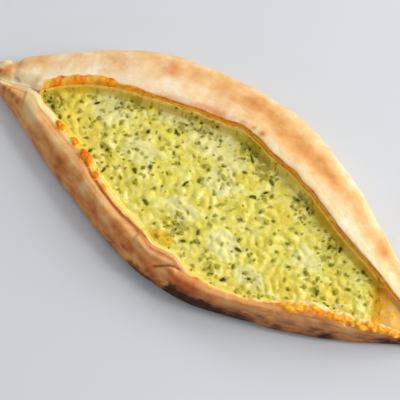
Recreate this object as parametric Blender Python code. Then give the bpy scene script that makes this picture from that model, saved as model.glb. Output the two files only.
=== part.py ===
"""A boat-shaped manakish: an oval of bread dough, folded up along both long sides over a cheese and herb filling.

Units are metres, +Z is up. The boat's length runs along X and its wide folded flap lies on the +Y side.
The origin is at the centre of the flat underside.
"""

import math
import random

import bmesh
import bpy
from mathutils import Vector, noise

MM = 0.001

# The whole boat, seen from above: pairs of X and Y in millimetres at stations along each side
LEFT_TIP = -131 * MM
RIGHT_TIP = 131 * MM
BACK_EDGE = ((-131, -9), (-129, -3.8), (-126.5, -0.6), (-123.5, 0.7), (-120.8, 0.9), (-118.5, 3.8), (-115.5, 7.8),
             (-112, 10.8), (-96, 24), (-80, 35.9), (-62, 45.9), (-41, 52.4), (-19, 55.4), (4, 56.2), (16, 56),
             (30, 52.7), (46, 46.3), (62, 39.6), (81, 28.6), (98, 18.4), (115, 8), (127, 0), (131, -5))
FRONT_EDGE = ((-131, -9), (-129, -12.7), (-116, -17.8), (-106, -21.8), (-97, -25.8), (-73, -36), (-47, -45),
              (-19, -53.5), (7, -56.5), (26, -54.5), (47, -48.2), (67, -41.7), (85, -34), (102, -25), (118, -15.5),
              (128, -10), (131, -5))

# The mouth of the boat, where the filling shows
LEFT_CORNER = -100 * MM
RIGHT_CORNER = 124 * MM
CORNER_LENGTH = 7 * MM
BACK_LIP = ((-100, -8.2), (-93, -2.6), (-85, 3.8), (-76, 9.6), (-64, 14.2), (-44, 20.4), (-30, 24), (-15, 27.3),
            (-3, 29.7), (5, 29.3), (14, 26.8), (23, 25.2), (36, 22.6), (50, 17.9), (66, 11.5), (94, 3),
            (109, -2.5), (124, -8.3))
FRONT_LIP = ((-100, -11), (-93, -12), (-81, -15.5), (-57, -23), (-50, -27.4), (-31, -34.9), (-17, -38), (-5, -43),
             (7, -42), (17, -45), (34, -43.8), (53, -38), (74, -25), (92, -20.5), (111, -14.5), (124, -9.5))

# The line on which the two flaps meet beyond the corners: X in millimetres and share of the boat's width
SEAM = ((-131, 0.2), (-117, 0.2), (-104, 0.33), (-90, 0.37), (100, 0.37), (131, 0.4))

# Heights of the dough across each flap: share of the flap's width, from the boat's edge to the lip
BACK_PROFILE = ((0, 7.5), (0.06, 13.2), (0.16, 17.4), (0.34, 20), (0.55, 21.6), (0.7, 22.9), (0.82, 23.8),
                (0.91, 24), (0.965, 23.3), (1, 21.4))
FRONT_PROFILE = ((0, 5), (0.1, 12), (0.25, 17.4), (0.42, 20.6), (0.55, 21.3), (0.8, 20.8), (0.93, 19.8), (1, 18.4))
GROOVE_CENTRE = ((-40, 0.76), (-20, 0.79), (-3, 0.86))  # beside the front lip: X in millimetres and share
GROOVE = (0.05, 1.6 * MM)   # half width as a share, and depth
GROOVE_ENDS = (-96 * MM, 0)
MEETING_Z = 19.9 * MM       # the lips' common height where they meet beyond the corners
MEETING_EASE = 4 * MM
TIP_HEIGHT_SHARE = 0.66     # how much of the height is left at the tips
TIP_SHARPNESS = 24          # how late the tips round off
BACK_UNDERCURVE = 4.5 * MM  # how far the flat underside stops short of the edge
FRONT_UNDERCURVE = 3 * MM
SEAM_GAP = 0.7 * MM
LIP_OVERRUN = 3 * MM        # extra dough past each lip, which the mouth then cuts away
EDGE_WOBBLE = 0.5 * MM
LIP_WOBBLE = 0.7 * MM

# The tucked end of the front rim's upper layer, the layer's other end near the left tip, and the tips' folds
TUCK_END = 13 * MM
TUCK_RISE = 1.8 * MM
LAYER_START = (-98.8 * MM, -105.2 * MM)   # at the boat's edge and at the lip
LAYER_STEP = 1.2 * MM
KNOB_CREASE = (-120.8 * MM, -112.5 * MM)
PINCH = 123 * MM

# The well under the flaps, and the filling in it
FLOOR_Z = 5 * MM
WELL_TOP_Z = 16.4 * MM
WELL_RIGHT_END = 104 * MM   # the right corner beyond it is bare dough
WELL_END_SLANT = 0.38       # how far the well's right end leans towards the front, as a slope
BACK_UNDERCUT = 4 * MM
FRONT_UNDERCUT = 2 * MM
BARE_CORNER_X = (99 * MM, 111 * MM)     # where the bare dough rises, from the first of these heights to the second
BARE_CORNER_Z = (13 * MM, 14.4 * MM)
BARE_CORNER_DOME = 1.3 * MM
CLEARANCE = 0.3 * MM
FILLING_Z = 14.2 * MM
FILLING_CROWN = 1 * MM
CURD_HEIGHT = 0.8 * MM
CURD_SIZE = 5 * MM

# Chopped parsley on the filling
FLAKE_COUNT = 150
FLAKE_LENGTH = (1.5 * MM, 3.5 * MM)
FLAKE_SLIMNESS = (0.35, 0.8)    # width as a share of the length
FLAKE_REACH = (0.32, 0.6)       # how uneven the outline is
FLAKE_GAP = 3.7 * MM
FLAKE_EDGE_GAP = 2.6 * MM
FLAKE_SINK = 1.1 * MM
FLAKE_RISE = 0.5 * MM
FLAKE_SIDES = 6

STATIONS = 90               # cross-sections along the boat
FLAP_STEPS = 12             # points across each flap
BASE_STEPS = 4
WELL_STATIONS = 60
SURFACE_STEPS = 19          # points across the filling
MOUTH_STEPS = 4             # points across the mouth's floor


def smooth_value(pairs, at):
    """The height of a smooth curve through a few (position, value) pairs, level beyond its ends."""
    if at <= pairs[0][0]:
        return pairs[0][1]
    if at >= pairs[-1][0]:
        return pairs[-1][1]
    last = len(pairs) - 1
    i = next(k for k in range(last) if at <= pairs[k + 1][0])
    (x0, y0), (x1, y1) = pairs[i], pairs[i + 1]
    before, after = pairs[max(i - 1, 0)], pairs[min(i + 2, last)]
    slope0 = (y1 - before[1]) / (x1 - before[0])
    slope1 = (after[1] - y0) / (after[0] - x0)
    step = x1 - x0
    t = (at - x0) / step
    return (y0 * (2 * t**3 - 3 * t**2 + 1) + slope0 * step * (t**3 - 2 * t**2 + t)
            + y1 * (3 * t**2 - 2 * t**3) + slope1 * step * (t**3 - t**2))


def fade(value, start, end):
    """0 at start, 1 at end, and an even ease between."""
    t = min(max((value - start) / (end - start), 0), 1)
    return t * t * (3 - 2 * t)


def between(value, start, end, ease):
    """1 between start and end, and an ease down to 0 at each."""
    return fade(value, start, start + ease) * fade(value, end, end - ease)


def bump(value, centre, width):
    return math.exp(-(((value - centre) / width)**2))


def tip_rounding(x):
    """1 along the boat, falling to 0 at the very tips."""
    return math.sqrt(max(1 - abs(x / RIGHT_TIP)**TIP_SHARPNESS, 0))


def edge_y(x, side):
    """The boat's edge seen from above: side is 1 for the back and -1 for the front."""
    wobble = EDGE_WOBBLE * noise.noise(Vector((x / (16 * MM), side * 9, 2))) * tip_rounding(x)
    return smooth_value(BACK_EDGE if side > 0 else FRONT_EDGE, x / MM) * MM + wobble


def seam_y(x):
    front = edge_y(x, -1)
    return front + smooth_value(SEAM, x / MM) * (edge_y(x, 1) - front)


def lip_y(x, side):
    """The flap's inner lip. Beyond the corners both lips run along the seam."""
    seam = seam_y(x)
    lip = smooth_value(BACK_LIP if side > 0 else FRONT_LIP, x / MM) * MM
    wobble = LIP_WOBBLE * noise.noise(Vector((x / (7 * MM), side * 5, 1)))
    opened = max(side * (lip + wobble - seam), 0)
    return seam + side * opened * between(x, LEFT_CORNER, RIGHT_CORNER, CORNER_LENGTH)


def height_share(x):
    """The dough gets lower towards the tips and rounds off at them."""
    return tip_rounding(x) * (1 - (1 - TIP_HEIGHT_SHARE) * abs(x / RIGHT_TIP)**4)


def puff(x, across, side):
    """The uneven rise of baked dough."""
    broad = noise.noise(Vector((x / (34 * MM), across * 1.3, side * 3)))
    fine = noise.noise(Vector((x / (11 * MM), across * 3, side * 7)))
    return (0.9 * broad + 0.45 * fine) * MM


def front_layers(x, across):
    """The front rim's groove, its tucked end with the crease beside it, and the step where its layer starts."""
    width, depth = GROOVE
    centre = smooth_value(GROOVE_CENTRE, x / MM)
    relief = -depth * between(x, *GROOVE_ENDS, 12 * MM) * bump(across, centre, width)
    relief += TUCK_RISE * between(x, TUCK_END - 28 * MM, TUCK_END, 2.5 * MM) * fade(across, 0.35, 0.6)
    crease_at = 0.38 + 0.036 * (x - TUCK_END + 10 * MM) / MM
    relief -= 1.2 * MM * between(x, TUCK_END - 14 * MM, TUCK_END + 1 * MM, 3 * MM) * bump(across, crease_at, 0.08)
    start = LAYER_START[0] + (LAYER_START[1] - LAYER_START[0]) * across
    relief -= LAYER_STEP * fade(x, start + 1.5 * MM, start - 1 * MM) * fade(x, LEFT_TIP, start)
    return relief


def tip_folds(x, across, side):
    """The crease beside the knob of the left tip, and a pinched fold on the right one."""
    knob_at = KNOB_CREASE[0] + (KNOB_CREASE[1] - KNOB_CREASE[0]) * across
    knob = bump(x, knob_at, 2 * MM) if side > 0 else 0
    return -(1.8 * knob + 1.2 * bump(x, PINCH, 2.5 * MM) * fade(across, 0.1, 0.4)) * MM


def flap_point(x, across, side):
    """A point on top of a flap: across is 0 at the boat's edge and 1 at the lip."""
    profile = BACK_PROFILE if side > 0 else FRONT_PROFILE
    edge = edge_y(x, side)
    inner = lip_y(x, side) + side * min(SEAM_GAP, 0.2 * abs(edge - seam_y(x)))
    z = smooth_value(profile, across) * MM
    z += (puff(x, across, side) + tip_folds(x, across, side)) * fade(across, 0, 0.15)
    if side < 0:
        z += front_layers(x, across)
    closed = 1 - between(x, LEFT_CORNER - MEETING_EASE, RIGHT_CORNER + MEETING_EASE, MEETING_EASE)
    z += (MEETING_Z - z) * closed * fade(across, 0.7, 1)
    return Vector((x, edge + (inner - edge) * across, z * height_share(x)))


def section(x):
    """One closed ring round the dough, from the middle of the mouth over the back, under and up the front."""
    halves = []
    gap = lip_y(x, 1) - lip_y(x, -1)
    for side in (1, -1):
        half = [flap_point(x, k / FLAP_STEPS, side) for k in range(FLAP_STEPS, -1, -1)]
        slit = 0.25 * min(SEAM_GAP, abs(half[0].y - seam_y(x)))
        half.insert(0, half[0] - Vector((0, side * max(min(LIP_OVERRUN, 0.3 * gap), slit), 0)))
        edge = half[-1]
        under = min(BACK_UNDERCURVE if side > 0 else FRONT_UNDERCURVE, 0.35 * abs(edge.y - seam_y(x)))
        half.append(Vector((x, edge.y - side * 0.3 * under, 0.3 * edge.z)))
        half.append(Vector((x, edge.y - side * under, 0)))
        halves.append(half)
    back, front = halves
    base = [back[-1].lerp(front[-1], k / BASE_STEPS) for k in range(1, BASE_STEPS)]
    return back + base + front[::-1]


def loft(name, rings):
    """One closed solid through a row of rings with equal numbers of points."""
    shape = bmesh.new()
    rows = [[shape.verts.new(point) for point in ring] for ring in rings]
    for before, after in zip(rows, rows[1:]):
        for i in range(len(before)):
            j = (i + 1) % len(before)
            shape.faces.new((before[i], before[j], after[j], after[i]))
    shape.faces.new(rows[0][::-1])
    shape.faces.new(rows[-1])
    bmesh.ops.recalc_face_normals(shape, faces=shape.faces)
    mesh = bpy.data.meshes.new(name)
    shape.to_mesh(mesh)
    shape.free()
    mesh.shade_smooth()
    made = bpy.data.objects.new(name, mesh)
    bpy.context.scene.collection.objects.link(made)
    return made


def eased_stations(start, end, count):
    """Positions along X that crowd together towards both ends."""
    middle, reach = (start + end) / 2, (end - start) / 2
    return [middle - reach * math.cos(math.pi * (i + 0.35) / (count - 0.3)) for i in range(count)]


def plain_material(name, colour, roughness):
    material = bpy.data.materials.new(name)
    material.use_nodes = True
    shader = material.node_tree.nodes["Principled BSDF"]
    shader.inputs["Base Color"].default_value = colour
    shader.inputs["Roughness"].default_value = roughness
    shader.inputs["Metallic"].default_value = 0
    return material


def cutter(made):
    made.hide_render = True
    made.display_type = "WIRE"
    return made


def bare_corner_z(x, across):
    """The bare dough of the right corner, a little domed between the lips."""
    low, high = BARE_CORNER_Z
    y = lip_y(x, -1) + (lip_y(x, 1) - lip_y(x, -1)) * across
    rise = fade(x + WELL_END_SLANT * (y - seam_y(x)), *BARE_CORNER_X)
    return low + (high - low) * rise + BARE_CORNER_DOME * rise * 4 * across * (1 - across)


def mouth():
    """What is cut from between the lips. Its floor rises over the bare dough of the right corner."""
    rings = []
    for x in eased_stations(LEFT_CORNER + 0.5 * MM, RIGHT_CORNER - 0.5 * MM, WELL_STATIONS):
        front, back = lip_y(x, -1), lip_y(x, 1)
        top = 2 * BACK_PROFILE[-1][1] * MM
        floor = []
        for k in range(MOUTH_STEPS + 1):
            across = k / MOUTH_STEPS
            floor.append(Vector((x, front + (back - front) * across, bare_corner_z(x, across))))
        rings.append(floor + [Vector((x, back, top)), Vector((x, front, top))])
    return cutter(loft("mouth", rings))


def well_edge(x, side, inset):
    """The well's wall, under the flap by its undercut and drawn together at the well's two ends."""
    undercut = BACK_UNDERCUT if side > 0 else FRONT_UNDERCUT
    seam = seam_y(x)
    reach = side * (lip_y(x, side) - seam) + undercut
    ends = between(x, LEFT_CORNER, WELL_RIGHT_END, 9 * MM)
    return seam + side * max(reach * math.sqrt(ends) - inset, 0.4 * MM)


def slanted(point):
    """A point of the well or the filling, moved along X so that the right end runs at a slant."""
    share = fade(point.x, WELL_RIGHT_END - 26 * MM, WELL_RIGHT_END - 4 * MM)
    return point - Vector((WELL_END_SLANT * share * (point.y - seam_y(point.x)), 0, 0))


def well():
    """The hollow that the filling lies in."""
    rings = []
    for x in eased_stations(LEFT_CORNER + 1 * MM, WELL_RIGHT_END - 1 * MM, WELL_STATIONS):
        front, back = well_edge(x, -1, 0), well_edge(x, 1, 0)
        ring = [Vector((x, front, FLOOR_Z)), Vector((x, back, FLOOR_Z)),
                Vector((x, back, WELL_TOP_Z)), Vector((x, front, WELL_TOP_Z))]
        rings.append([slanted(point) for point in ring])
    return cutter(loft("well", rings))


def crust():
    """The dough: one folded piece, hollowed for the filling and open between its lips."""
    dough = loft("crust", [section(x) for x in eased_stations(LEFT_TIP, RIGHT_TIP, STATIONS)])
    for shape in (well(), mouth()):
        cut = dough.modifiers.new(shape.name, "BOOLEAN")
        cut.object = shape
        cut.operation = "DIFFERENCE"
        cut.solver = "EXACT"
    dough.data.materials.append(plain_material("baked_dough", (0.72, 0.42, 0.17, 1), 0.75))


def filling_z(x, y):
    """The top of the filling: a low crown with curds in it, level where it runs under the flaps."""
    inside = min(y - lip_y(x, -1), lip_y(x, 1) - y)
    shown = fade(inside, -1 * MM, 5 * MM)
    crown = FILLING_CROWN * fade(inside, 0, 22 * MM)
    curd = 2 * abs(noise.noise(Vector((x / CURD_SIZE, y / CURD_SIZE, 0))))
    lump = noise.noise(Vector((x / (15 * MM), y / (15 * MM), 4)))
    return FILLING_Z + crown + shown * (CURD_HEIGHT * curd + 0.5 * MM * lump)


def filling_core():
    """The filling without its herbs: the well's own shape, less a clearance."""
    rings = []
    for x in eased_stations(LEFT_CORNER + 1.6 * MM, WELL_RIGHT_END - 1.6 * MM, WELL_STATIONS):
        front, back = well_edge(x, -1, CLEARANCE), well_edge(x, 1, CLEARANCE)
        floor = FLOOR_Z + CLEARANCE
        across = [front + (back - front) * k / SURFACE_STEPS for k in range(SURFACE_STEPS, -1, -1)]
        top = [Vector((x, y, filling_z(x, y))) for y in across]
        rings.append([slanted(point) for point in [Vector((x, front, floor)), Vector((x, back, floor))] + top])
    return loft("filling", rings)


def scattered(draw):
    """Places for the flakes, spread evenly over the filling that shows, a set distance apart."""
    places = []
    while len(places) < FLAKE_COUNT:
        x = draw.uniform(LEFT_CORNER + 8 * MM, WELL_RIGHT_END - 5 * MM)
        y = draw.uniform(lip_y(x, -1), lip_y(x, 1))
        clear_of_lips = min(y - lip_y(x, -1), lip_y(x, 1) - y) > FLAKE_EDGE_GAP
        if clear_of_lips and all(math.dist((x, y), place) > FLAKE_GAP for place in places):
            places.append((x, y))
    return places


def flake(place, draw):
    """A bit of leaf half sunk in the cheese: a thin plate with an uneven outline, a little tilted."""
    length = draw.uniform(*FLAKE_LENGTH)
    width = length * draw.uniform(*FLAKE_SLIMNESS)
    turn = draw.uniform(0, math.tau)
    tilt = draw.uniform(-0.12, 0.12)
    outline = []
    for k in range(FLAKE_SIDES):
        angle = math.tau * k / FLAKE_SIDES
        reach = draw.uniform(*FLAKE_REACH)
        along, aside = length * math.cos(angle) * reach, width * math.sin(angle) * reach
        outline.append(Vector((place[0] + along * math.cos(turn) - aside * math.sin(turn),
                               place[1] + along * math.sin(turn) + aside * math.cos(turn),
                               filling_z(*place) + tilt * along)))
    return loft("flake", [[point + Vector((0, 0, z)) for point in outline] for z in (-FLAKE_SINK, FLAKE_RISE)])


def filling():
    """The cheese, with its parsley joined on."""
    core = filling_core()
    herbs = bpy.data.collections.new("herbs")
    bpy.context.scene.collection.children.link(herbs)
    draw = random.Random(11)
    for place in scattered(draw):
        bit = flake(place, draw)
        bpy.context.scene.collection.objects.unlink(bit)
        herbs.objects.link(bit)
    join = core.modifiers.new("herbs", "BOOLEAN")
    join.operand_type = "COLLECTION"
    join.collection = herbs
    join.operation = "UNION"
    join.solver = "EXACT"
    bpy.context.view_layer.objects.active = core
    bpy.ops.object.modifier_apply(modifier=join.name)
    for bit in list(herbs.objects):
        bpy.data.objects.remove(bit)
    bpy.data.collections.remove(herbs)
    core.data.materials.clear()
    core.data.materials.append(plain_material("cheese_and_parsley", (0.66, 0.6, 0.16, 1), 0.45))


def main():
    for old in list(bpy.data.objects):
        bpy.data.objects.remove(old)
    crust()
    filling()


main()
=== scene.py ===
import math
import random

import bmesh
import bpy
from mathutils import Euler, Matrix, Vector, kdtree, noise


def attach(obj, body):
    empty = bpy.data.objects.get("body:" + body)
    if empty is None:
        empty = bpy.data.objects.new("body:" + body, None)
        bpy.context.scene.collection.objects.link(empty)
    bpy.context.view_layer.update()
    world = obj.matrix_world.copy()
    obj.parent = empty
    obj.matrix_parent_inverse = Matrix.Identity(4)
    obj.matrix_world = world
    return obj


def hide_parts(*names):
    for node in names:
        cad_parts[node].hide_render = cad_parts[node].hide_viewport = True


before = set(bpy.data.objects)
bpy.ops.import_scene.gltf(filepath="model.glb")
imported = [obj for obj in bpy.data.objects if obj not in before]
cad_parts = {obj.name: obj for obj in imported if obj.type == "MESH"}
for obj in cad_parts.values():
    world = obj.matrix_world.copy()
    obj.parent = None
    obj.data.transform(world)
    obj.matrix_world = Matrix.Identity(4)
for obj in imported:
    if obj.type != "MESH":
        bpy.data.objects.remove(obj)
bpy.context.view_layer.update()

mm = 0.001

# the boat's own sizes, the same as in its solids: X and Y in millimetres, seen from above

boat = {
    "leftTip": -131 * mm,
    "rightTip": 131 * mm,
    "backEdge": ((-131, -9), (-129, -3.8), (-126.5, -0.6), (-123.5, 0.7), (-120.8, 0.9), (-118.5, 3.8),
                 (-115.5, 7.8), (-112, 10.8), (-96, 24), (-80, 35.9), (-62, 45.9), (-41, 52.4), (-19, 55.4),
                 (4, 56.2), (16, 56), (30, 52.7), (46, 46.3), (62, 39.6), (81, 28.6), (98, 18.4), (115, 8),
                 (127, 0), (131, -5)),
    "frontEdge": ((-131, -9), (-129, -12.7), (-116, -17.8), (-106, -21.8), (-97, -25.8), (-73, -36),
                  (-47, -45), (-19, -53.5), (7, -56.5), (26, -54.5), (47, -48.2), (67, -41.7), (85, -34),
                  (102, -25), (118, -15.5), (128, -10), (131, -5)),
    "edgeWobble": 0.5 * mm,
    "seam": ((-131, 0.2), (-117, 0.2), (-104, 0.33), (-90, 0.37), (100, 0.37), (131, 0.4)),  # share of width
    "tipSharpness": 24,
    "tipHeightShare": 0.66,
}

mouth = {
    "leftCorner": -100 * mm,
    "rightCorner": 124 * mm,
    "cornerLength": 7 * mm,
    "backLip": ((-100, -8.2), (-93, -2.6), (-85, 3.8), (-76, 9.6), (-64, 14.2), (-44, 20.4), (-30, 24),
                (-15, 27.3), (-3, 29.7), (5, 29.3), (14, 26.8), (23, 25.2), (36, 22.6), (50, 17.9),
                (66, 11.5), (94, 3), (109, -2.5), (124, -8.3)),
    "frontLip": ((-100, -11), (-93, -12), (-81, -15.5), (-57, -23), (-50, -27.4), (-31, -34.9), (-17, -38),
                 (-5, -43), (7, -42), (17, -45), (34, -43.8), (53, -38), (74, -25), (92, -20.5), (111, -14.5),
                 (124, -9.5)),
    "lipWobble": 0.7 * mm,
    "wellRightEnd": 104 * mm,  # the corner beyond it is bare dough
    "wellEndEase": 9 * mm,
    "wellEndSlant": 0.38,
    "slantEase": (26 * mm, 4 * mm),  # it sets in and is whole this far before that end
    "wellFloor": 5 * mm,
    "wellTop": 16.4 * mm,
    "undercut": {1: 4 * mm, -1: 2 * mm},
    "bareCornerX": (99 * mm, 111 * mm),
    "bareCornerZ": (13 * mm, 14.4 * mm),
    "bareCornerDome": 1.3 * mm,
}


def smoothValue(pairs, at):  # a smooth curve through a few pairs, level beyond its ends
    if at <= pairs[0][0]:
        return pairs[0][1]
    if at >= pairs[-1][0]:
        return pairs[-1][1]
    last = len(pairs) - 1
    i = next(k for k in range(last) if at <= pairs[k + 1][0])
    (x0, y0), (x1, y1) = pairs[i], pairs[i + 1]
    before, after = pairs[max(i - 1, 0)], pairs[min(i + 2, last)]
    step = x1 - x0
    slope0 = step * (y1 - before[1]) / (x1 - before[0])
    slope1 = step * (after[1] - y0) / (after[0] - x0)
    t = (at - x0) / step
    return (y0 * (2 * t**3 - 3 * t**2 + 1) + slope0 * (t**3 - 2 * t**2 + t)
            + y1 * (3 * t**2 - 2 * t**3) + slope1 * (t**3 - t**2))


def fade(value, start, end):  # 0 at start, 1 at end
    t = min(max((value - start) / (end - start), 0), 1)
    return t * t * (3 - 2 * t)


def between(value, start, end, ease):
    return fade(value, start, start + ease) * fade(value, end, end - ease)


def bump(value, centre, width):
    return math.exp(-(((value - centre) / width)**2))


def mix(a, b, share):
    return a + (b - a) * share


def waver(*place):  # soft noise between -1 and 1
    return noise.noise(Vector(place))


def speckle(x, y, z, size):
    return noise.noise(Vector((x, y, z)) / size)


def tipRounding(x):
    return math.sqrt(max(1 - abs(x / boat["rightTip"])**boat["tipSharpness"], 0))


def edgeY(x, side):  # side is 1 for the back and -1 for the front
    wobble = boat["edgeWobble"] * waver(x / (16 * mm), side * 9, 2) * tipRounding(x)
    return smoothValue(boat["backEdge" if side > 0 else "frontEdge"], x / mm) * mm + wobble


def seamY(x):
    front = edgeY(x, -1)
    return front + smoothValue(boat["seam"], x / mm) * (edgeY(x, 1) - front)


def lipY(x, side):
    seam = seamY(x)
    lip = smoothValue(mouth["backLip" if side > 0 else "frontLip"], x / mm) * mm
    wobble = mouth["lipWobble"] * waver(x / (7 * mm), side * 5, 1)
    opened = max(side * (lip + wobble - seam), 0)
    return seam + side * opened * between(x, mouth["leftCorner"], mouth["rightCorner"], mouth["cornerLength"])


def heightShare(x):
    return tipRounding(x) * (1 - (1 - boat["tipHeightShare"]) * abs(x / boat["rightTip"])**4)


def wellY(x, side, inset):
    seam = seamY(x)
    reach = side * (lipY(x, side) - seam) + mouth["undercut"][side]
    ends = between(x, mouth["leftCorner"], mouth["wellRightEnd"], mouth["wellEndEase"])
    return seam + side * max(reach * math.sqrt(ends) - inset, 0.4 * mm)


def slantShare(x):
    return fade(x, *(mouth["wellRightEnd"] - before for before in mouth["slantEase"]))


def slanted(point, weight=1.0):  # the well's right end runs at a slant
    share = slantShare(point.x) * fade(point.x, mouth["rightCorner"], mouth["wellRightEnd"] + 2 * mm)
    return point - Vector((mouth["wellEndSlant"] * share * weight * (point.y - seamY(point.x)), 0, 0))


def insideLips(x, y):  # how far a place lies inside the nearer lip
    return min(y - lipY(x, -1), lipY(x, 1) - y)


def bareCornerZ(x, y):  # the bare dough of the right corner, a little domed between the lips
    front, back = lipY(x, -1), lipY(x, 1)
    across = min(max((y - front) / max(back - front, 0.01 * mm), 0), 1)
    rise = fade(x + mouth["wellEndSlant"] * (y - seamY(x)), *mouth["bareCornerX"])
    return mix(*mouth["bareCornerZ"], rise) + mouth["bareCornerDome"] * rise * 4 * across * (1 - across)


def easedSteps(start, end, count, ease):  # positions that crowd together towards both ends
    middle, reach = (start + end) / 2, (end - start) / 2
    shares = [i / count for i in range(count + 1)]
    return [middle + reach * mix(2 * t - 1, -math.cos(math.pi * t), ease) for t in shares]


def paint(red, green, blue):  # a screen colour, 0 to 255, as linear light
    shares = (value / 255 for value in (red, green, blue))
    return (*(share / 12.92 if share < 0.04 else ((share + 0.055) / 1.055)**2.4 for share in shares), 1)


class Wire:  # a node's output that can be used in sums
    def __init__(self, finish, socket):
        self.finish, self.socket = finish, socket

    def maths(self, operation, *values, clamp=False):
        settings = {"operation": operation, "use_clamp": clamp}
        return self.finish.node("ShaderNodeMath", settings, dict(enumerate(values)))

    def __add__(self, other):
        return self.maths("ADD", self, other)

    def __radd__(self, other):
        return self.maths("ADD", other, self)

    def __sub__(self, other):
        return self.maths("SUBTRACT", self, other)

    def __rsub__(self, other):
        return self.maths("SUBTRACT", other, self)

    def __mul__(self, other):
        return self.maths("MULTIPLY", self, other)

    def __rmul__(self, other):
        return self.maths("MULTIPLY", other, self)

    def clamped(self):
        return self.maths("ADD", self, 0.0, clamp=True)

    def step(self, start, end):  # 0 below start and 1 above end, with an ease between
        return self.finish.node("ShaderNodeMapRange", {"interpolation_type": "SMOOTHSTEP"},
                                {"Value": self, "From Min": start, "From Max": end})


class Finish:  # one material and the nodes that make it
    def __init__(self, name):
        self.material = bpy.data.materials.new(name)
        self.material.use_nodes = True
        self.tree = self.material.node_tree
        self.shader = self.tree.nodes["Principled BSDF"]
        place = self.node("ShaderNodeTexCoord", {}, {}, "Object")
        self.place = self.node("ShaderNodeMapping", {}, {"Vector": place, "Scale": (1 / mm, 1 / mm, 1 / mm)})

    def node(self, kind, settings, values, output=0):
        made = self.tree.nodes.new(kind)
        for key, value in settings.items():
            if key == "stops":
                self.setStops(made.color_ramp, value)
            else:
                setattr(made, key, value)
        for key, value in values.items():
            self.plug(made.inputs[key], value)
        return Wire(self, made.outputs[output])

    def plug(self, socket, value):
        if isinstance(value, Wire):
            self.tree.links.new(value.socket, socket)
        else:
            socket.default_value = value

    def setStops(self, ramp, stops):
        while len(ramp.elements) < len(stops):
            ramp.elements.new(0.5)
        for element, (position, colour) in zip(ramp.elements, stops):
            element.position, element.color = position, paint(*colour)

    def noise(self, size, detail, rough):  # size is in millimetres
        values = {"Vector": self.place, "Scale": 1 / size, "Detail": detail, "Roughness": rough}
        return self.node("ShaderNodeTexNoise", {}, values, "Fac")

    def mask(self, name):
        return self.node("ShaderNodeAttribute", {"attribute_name": name}, {}, "Fac")

    def broken(self, name, grain, least, gain, start, end):  # a mask whose edge is broken up by a grain
        return (self.mask(name) * (least + gain * grain)).step(start, end)

    def ramp(self, value, stops):
        return self.node("ShaderNodeValToRGB", {"stops": stops}, {"Fac": value}, "Color")

    def blend(self, share, first, second, mode="MIX"):
        second = second if isinstance(second, Wire) else paint(*second)
        values = {0: share, 6: first, 7: second}  # 6 and 7 are the mix's two colours
        return self.node("ShaderNodeMix", {"data_type": "RGBA", "blend_type": mode}, values, 2)

    def bumped(self, height, depth, strength, under=None):
        values = {"Height": height, "Distance": depth, "Strength": strength}
        if under:
            values["Normal"] = under
        return self.node("ShaderNodeBump", {}, values, "Normal")

    def finish(self, **values):
        for key, value in values.items():
            self.plug(self.shader.inputs[key.replace("_", " ")], value)
        return self.material


def wrapGrid(name, rings, masks):
    # a grid of squares, wrapped round into a closed skin
    # rings is a list of cross-sections, each with a place, a relief and the masks' values for every point
    rows, columns = len(rings), len(rings[0])
    shape = bmesh.new()
    bmesh.ops.create_grid(shape, x_segments=rows - 1, y_segments=columns - 1, size=0.5)
    layers = {key: shape.verts.layers.float.new(key) for key in ("relief", *masks)}
    for vert in shape.verts:
        i = round((vert.co.x + 0.5) * (rows - 1))
        j = round((vert.co.y + 0.5) * (columns - 1))
        place, relief, values = rings[i][j]
        vert.co = place
        vert[layers["relief"]] = relief
        for key, value in zip(masks, values):
            vert[layers[key]] = min(max(value, 0), 1)
    bmesh.ops.remove_doubles(shape, verts=shape.verts, dist=0.002 * mm)
    bmesh.ops.recalc_face_normals(shape, faces=shape.faces)
    shape.normal_update()
    moves = [(vert, vert.normal * vert[layers["relief"]]) for vert in shape.verts]
    for vert, move in moves:
        vert.co += move
    shape.verts.layers.float.remove(layers["relief"])
    return meshPiece(name, shape)


def meshPiece(name, shape):
    for face in shape.faces:
        face.smooth = True
    mesh = bpy.data.meshes.new(name)
    shape.to_mesh(mesh)
    shape.free()
    piece = bpy.data.objects.new(name, mesh)
    bpy.context.scene.collection.objects.link(piece)
    return piece


def settle(piece, material, slot, *nodes):
    piece.data.materials.append(material)
    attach(piece, "root")
    if nodes:
        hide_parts(*nodes)
    mesh = piece.data
    mesh.calc_loop_triangles()
    print(piece.name, len(mesh.loop_triangles), "triangles")


crust = {
    "alongSteps": 540,
    "flapSteps": {1: 62, -1: 46},
    "roundSteps": {"well": 3, "shelf": 8, "lip": 6, "foot": 9, "base": 6},
    "backProfile": ((0, 7.5), (0.06, 13.2), (0.16, 17.4), (0.34, 20), (0.55, 21.6), (0.7, 22.9), (0.82, 23.8),
                    (0.91, 24), (0.975, 23.6), (1, 22)),
    "frontProfile": ((0, 5), (0.1, 12), (0.25, 17.4), (0.42, 20.6), (0.55, 21.3), (0.8, 20.8), (0.93, 19.8),
                     (1, 18.4)),
    "grooveCentre": ((-40, 0.76), (-20, 0.79), (-3, 0.86)),  # beside the front lip: X and share
    "groove": (0.045, 1.6 * mm),
    "grooveEnds": (-96 * mm, 0),
    "grooveDeepens": (-66 * mm, -48 * mm),
    "undercurve": {1: 4.5 * mm, -1: 3 * mm},
    "seamGap": (0.12 * mm, 0.5 * mm),  # where the lips meet, and at the open mouth
    "seamDepth": (0.3 * mm, 0.15 * mm),  # at the left and at the right
    "meetingZ": 19.9 * mm,  # the lips' common height where they meet
    "meetingEase": 4 * mm,
    "tuckEnd": 13 * mm,
    "tuckLength": 28 * mm,
    "tuckRise": 1.8 * mm,
    "tuckCrease": 1.6 * mm,
    "layerStart": (-98.8 * mm, -105.2 * mm),
    "layerStep": 1.2 * mm,
    "layerEase": 0.8 * mm,
    "knobCrease": (-120.8 * mm, -112.5 * mm),
    "pinch": 123 * mm,
}

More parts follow.
